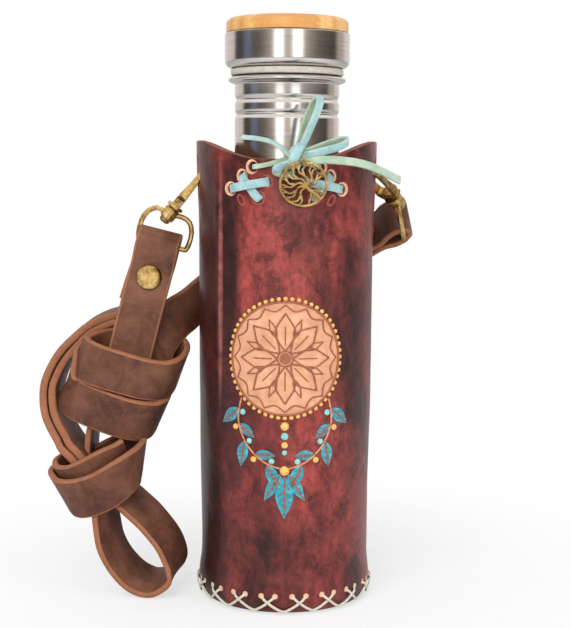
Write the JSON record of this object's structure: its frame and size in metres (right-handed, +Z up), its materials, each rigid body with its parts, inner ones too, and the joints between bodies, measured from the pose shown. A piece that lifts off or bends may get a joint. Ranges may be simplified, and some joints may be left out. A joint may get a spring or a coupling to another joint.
{
  "type": "leather water bottle case with strap",
  "caption": "Laced leather case with its steel bottle, a stored shoulder strap on snap hooks, a suede bow and an openwork charm.",
  "frame": {"origin": "centre of the case's flat base", "axes": "+Z up along the bottle, -Y towards the laced front, -X towards the stored strap"},
  "size_m": [0.1753, 0.1073, 0.2705],
  "materials": {
    "case_leather": "waxed, mottled burgundy",
    "base_leather": "matt",
    "strap_leather": "oiled brown with tan raw edges",
    "waxed_thread": "flat waxed thread",
    "suede_lace": "matt suede",
    "antique_brass": "antique",
    "brushed_steel": "satin",
    "silicone": "matt",
    "bamboo": "satin",
    "plug_plastic": "matt"
  },
  "bodies": {
    "case": {"body_shell": "case_leather", "base_disc": "base_leather", "base_stitch_over": "waxed_thread", "base_stitch_under": "waxed_thread", "lace_left_over": "suede_lace", "lace_left_under": "suede_lace", "lace_right_over": "suede_lace", "lace_right_under": "suede_lace", "bow_knot": "suede_lace", "bow_loop_upper": "suede_lace", "bow_loop_right": "suede_lace", "bow_tail_left": "suede_lace", "bow_tail_right": "suede_lace", "charm_jump_ring": "antique_brass"},
    "bottle": {"bottle_body": "brushed_steel"},
    "seal": {"lid_seal": "silicone"},
    "lid": {"lid_band": "brushed_steel", "lid_top": "bamboo", "lid_plug": "plug_plastic"},
    "charm": {"charm": "antique_brass"},
    "strap": {"strap_end_left": "strap_leather", "strap_end_right": "strap_leather", "strap_back_run": "strap_leather", "strap_upper_wrap": "strap_leather", "strap_lower_wrap": "strap_leather", "strap_inner_wrap": "strap_leather", "strap_outer_arc": "strap_leather", "strap_inner_arc": "strap_leather", "strap_bottom_loop": "strap_leather", "left_rivet": "antique_brass", "right_rivet": "antique_brass", "left_eye_ring": "antique_brass", "right_eye_ring": "antique_brass"},
    "left_hook": {"left_hook_body": "antique_brass"},
    "left_gate": {"left_hook_gate": "antique_brass"},
    "right_hook": {"right_hook_body": "antique_brass"},
    "right_gate": {"right_hook_gate": "antique_brass"}
  },
  "joints": [
    {"name": "bottle_lift", "type": "slide", "parent": "case", "child": "bottle", "axis": [0, 0, 1], "range_m": [0, 0.25]},
    {"name": "lid_turn", "type": "hinge", "parent": "bottle", "child": "seal", "pos_m": [0, 0, 0.245], "axis": [0, 0, 1], "range_deg": [0, 540]},
    {"name": "lid_lift", "type": "slide", "parent": "seal", "child": "lid", "axis": [0, 0, 1], "range_m": [0, 0.06]},
    {"name": "charm_swing", "type": "hinge", "parent": "case", "child": "charm", "pos_m": [0.0074, -0.0499, 0.2049], "axis": [-1, 0, 0], "range_deg": [0, 60]},
    {"name": "strap_swing", "type": "hinge", "parent": "case", "child": "strap", "pos_m": [0, 0, 0.198], "axis": [1, 0, 0], "range_deg": [0, 6]},
    {"name": "left_swivel", "type": "hinge", "parent": "strap", "child": "left_hook", "pos_m": [-0.05472, 0, 0.18044], "axis": [0.6293, 0, 0.7771], "range_deg": [-4, 4]},
    {"name": "left_gate_hinge", "type": "hinge", "parent": "left_hook", "child": "left_gate", "pos_m": [-0.04761, -0.00465, 0.18922], "axis": [-0.7771, 0, 0.6293], "range_deg": [0, 20], "stiffness_Nm_per_rad": 0.01, "springref_deg": -20.05},
    {"name": "right_swivel", "type": "hinge", "parent": "strap", "child": "right_hook", "pos_m": [0.05308, 0.01499, 0.1867], "axis": [-0.5567, -0.6634, 0.5], "range_deg": [-4, 4]},
    {"name": "right_gate_hinge", "type": "hinge", "parent": "right_hook", "child": "right_gate", "pos_m": [0.05035, 0.00451, 0.19235], "axis": [-0.3214, -0.383, -0.866], "range_deg": [0, 20], "stiffness_Nm_per_rad": 0.01, "springref_deg": -20.05}
  ]
}
